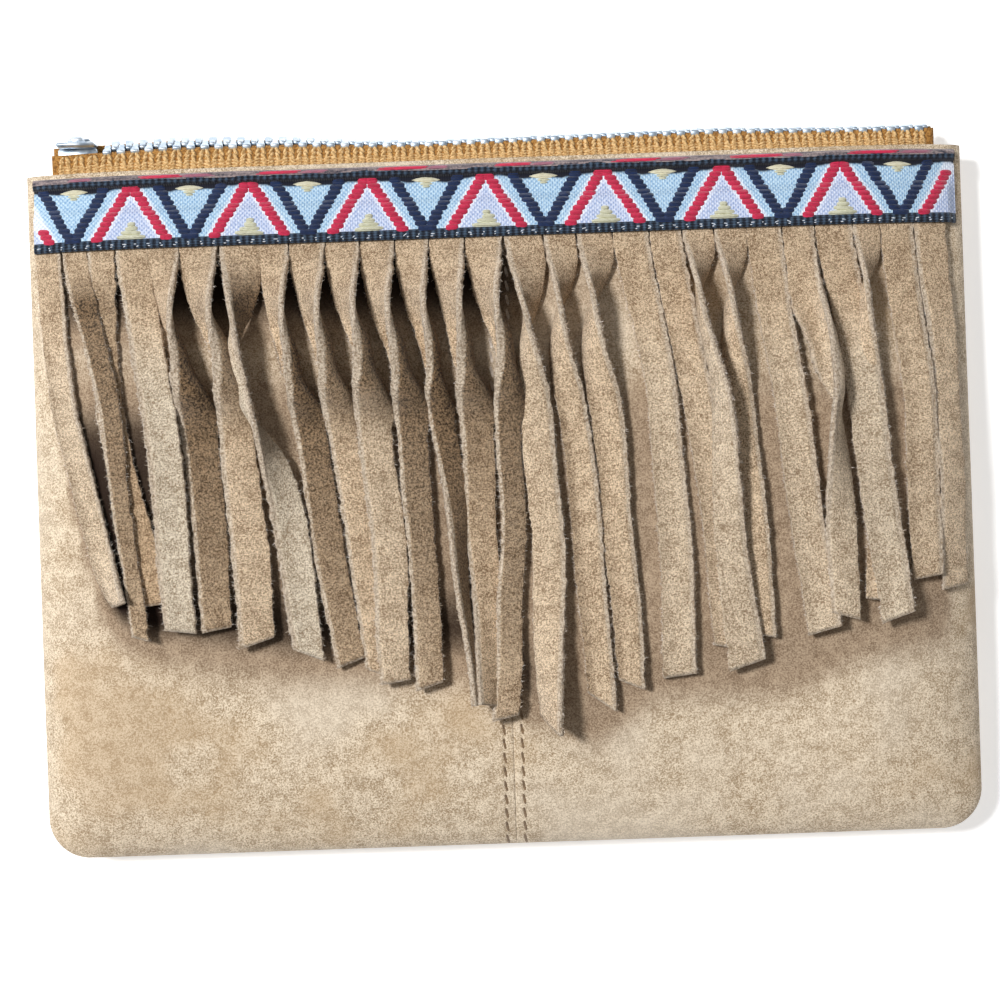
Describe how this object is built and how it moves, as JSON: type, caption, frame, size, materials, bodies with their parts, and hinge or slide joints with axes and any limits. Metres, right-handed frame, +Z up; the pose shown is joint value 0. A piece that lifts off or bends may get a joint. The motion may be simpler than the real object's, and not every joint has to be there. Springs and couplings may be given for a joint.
{
  "type": "suede fringed clutch",
  "caption": "Flat suede zip clutch with a hanging fringe under a woven zigzag ribbon, a seamed front and a closed zip; lies on its back and holds small things.",
  "frame": {"origin": "middle of the box's underside, on the surface the clutch lies on", "axes": "+X along the zip to the right seen from the front, +Y from the bottom fold towards the zip, +Z up out of the front panel"},
  "size_m": [0.206, 0.159, 0.0235],
  "materials": {
    "suede": "tan suede with a fine brushed nap",
    "fringe_suede": "tan suede with pale fuzzy cut edges",
    "ribbon_weave": "woven ribbon, pale blue ground with navy, red and cream floats",
    "zip_tape": "golden knitted tape",
    "zip_metal": "silver satin metal"
  },
  "bodies": {
    "root": {"front_panel_left": "suede", "front_panel_right": "suede", "back_panel": "suede", "fringe": "fringe_suede", "ribbon_trim": "ribbon_weave", "zip_tape_front": "zip_tape", "zip_tape_back": "zip_tape", "zip_teeth_front": "zip_metal", "zip_teeth_back": "zip_metal", "zip_slider": "zip_metal"}
  },
  "joints": []
}
